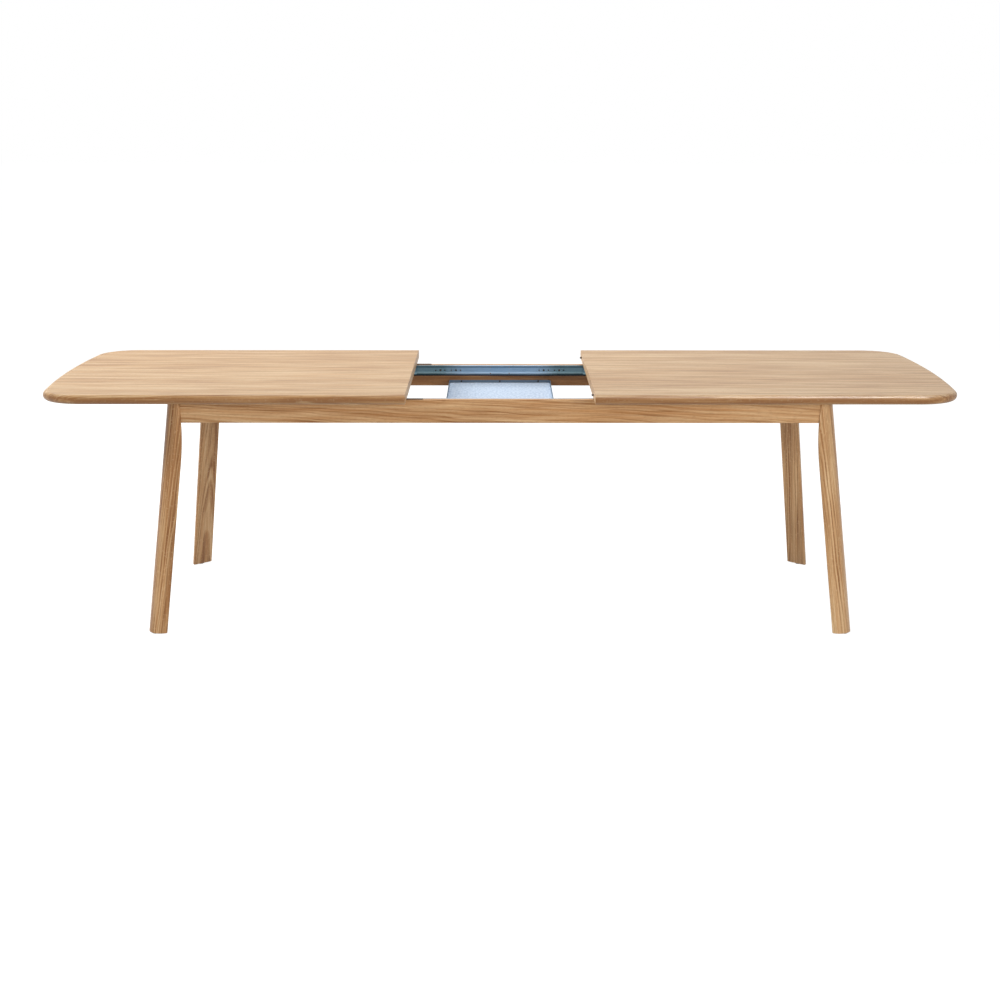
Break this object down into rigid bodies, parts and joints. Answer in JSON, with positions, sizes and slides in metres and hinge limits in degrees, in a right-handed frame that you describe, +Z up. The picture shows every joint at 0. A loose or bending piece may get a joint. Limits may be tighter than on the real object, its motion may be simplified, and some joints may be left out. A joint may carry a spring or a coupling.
{
  "type": "split-top extending dining table",
  "caption": "Oak dining table whose two bullnosed top halves draw apart on ball-bearing slides over a fixed apron frame with splayed half-round legs, leaving a gap for a spare leaf.",
  "frame": {"origin": "on the floor, under the middle of the table", "axes": "+X along the table towards the right half, +Y to the back, +Z up"},
  "size_m": [2.7918, 1, 0.75],
  "materials": {
    "oak_top": "pale oiled oak, glued staves along the table",
    "oak_frame": "oiled oak, grain along the piece",
    "oak_inside": "planed unfinished oak",
    "zinc_steel": "blue-passivated zinc plate on rolled steel",
    "pressed_steel": "bright pressed strip",
    "ball_steel": "polished bearing steel",
    "screw_steel": "zinc-plated",
    "tray_enamel": "pale grey powder coat",
    "grey_felt": "pale blue-grey felt",
    "buffer_rubber": "black rubber",
    "glide_nylon": "dark moulded nylon",
    "pin_nylon": "dark moulded nylon"
  },
  "bodies": {
    "frame": {"block_screws": "screw_steel", "centre_tray": "tray_enamel", "channel_screws": "screw_steel", "foot_glides": "glide_nylon", "front_apron": "oak_frame", "front_left_corner_block": "oak_inside", "front_left_leg": "oak_frame", "front_right_corner_block": "oak_inside", "front_right_leg": "oak_frame", "front_slide_channel": "zinc_steel", "left_end_apron": "oak_frame", "leg_bolts": "screw_steel", "leg_nuts": "screw_steel", "leg_washers": "screw_steel", "rear_apron": "oak_frame", "rear_left_corner_block": "oak_inside", "rear_left_leg": "oak_frame", "rear_right_corner_block": "oak_inside", "rear_right_leg": "oak_frame", "rear_slide_channel": "zinc_steel", "right_end_apron": "oak_frame", "slide_buffers": "buffer_rubber", "tray_felt": "grey_felt", "tray_screws": "screw_steel"},
    "left_half": {"left_top": "oak_top", "left_inner_batten": "oak_inside", "left_outer_batten": "oak_inside", "left_rail_screws": "screw_steel", "left_runner_screws": "screw_steel", "left_batten_screws": "screw_steel", "front_left_rail": "zinc_steel", "front_left_runner": "oak_inside", "rear_left_rail": "zinc_steel", "rear_left_runner": "oak_inside"},
    "right_half": {"right_top": "oak_top", "right_inner_batten": "oak_inside", "right_outer_batten": "oak_inside", "right_rail_screws": "screw_steel", "right_runner_screws": "screw_steel", "right_batten_screws": "screw_steel", "front_right_rail": "zinc_steel", "front_right_runner": "oak_inside", "rear_right_rail": "zinc_steel", "rear_right_runner": "oak_inside", "alignment_pins": "pin_nylon"},
    "front_left_ball_cage": {"front_left_cage": "pressed_steel", "front_left_balls": "ball_steel"},
    "front_right_ball_cage": {"front_right_cage": "pressed_steel", "front_right_balls": "ball_steel"},
    "rear_left_ball_cage": {"rear_left_cage": "pressed_steel", "rear_left_balls": "ball_steel"},
    "rear_right_ball_cage": {"rear_right_cage": "pressed_steel", "rear_right_balls": "ball_steel"}
  },
  "joints": [
    {"name": "left_half_slide", "type": "slide", "parent": "frame", "child": "left_half", "axis": [1, 0, 0], "range_m": [0, 0.2816]},
    {"name": "right_half_slide", "type": "slide", "parent": "frame", "child": "right_half", "axis": [-1, 0, 0], "range_m": [0, 0.2816]},
    {"name": "front_left_cage_roll", "type": "slide", "parent": "frame", "child": "front_left_ball_cage", "axis": [1, 0, 0], "range_m": [0, 0.1408]},
    {"name": "front_right_cage_roll", "type": "slide", "parent": "frame", "child": "front_right_ball_cage", "axis": [-1, 0, 0], "range_m": [0, 0.1408]},
    {"name": "rear_left_cage_roll", "type": "slide", "parent": "frame", "child": "rear_left_ball_cage", "axis": [1, 0, 0], "range_m": [0, 0.1408]},
    {"name": "rear_right_cage_roll", "type": "slide", "parent": "frame", "child": "rear_right_ball_cage", "axis": [-1, 0, 0], "range_m": [0, 0.1408]}
  ],
  "couplings": [
    {"joint": "front_left_cage_roll", "follows": "left_half_slide", "ratio": 0.5},
    {"joint": "front_right_cage_roll", "follows": "right_half_slide", "ratio": 0.5},
    {"joint": "rear_left_cage_roll", "follows": "left_half_slide", "ratio": 0.5},
    {"joint": "rear_right_cage_roll", "follows": "right_half_slide", "ratio": 0.5}
  ]
}
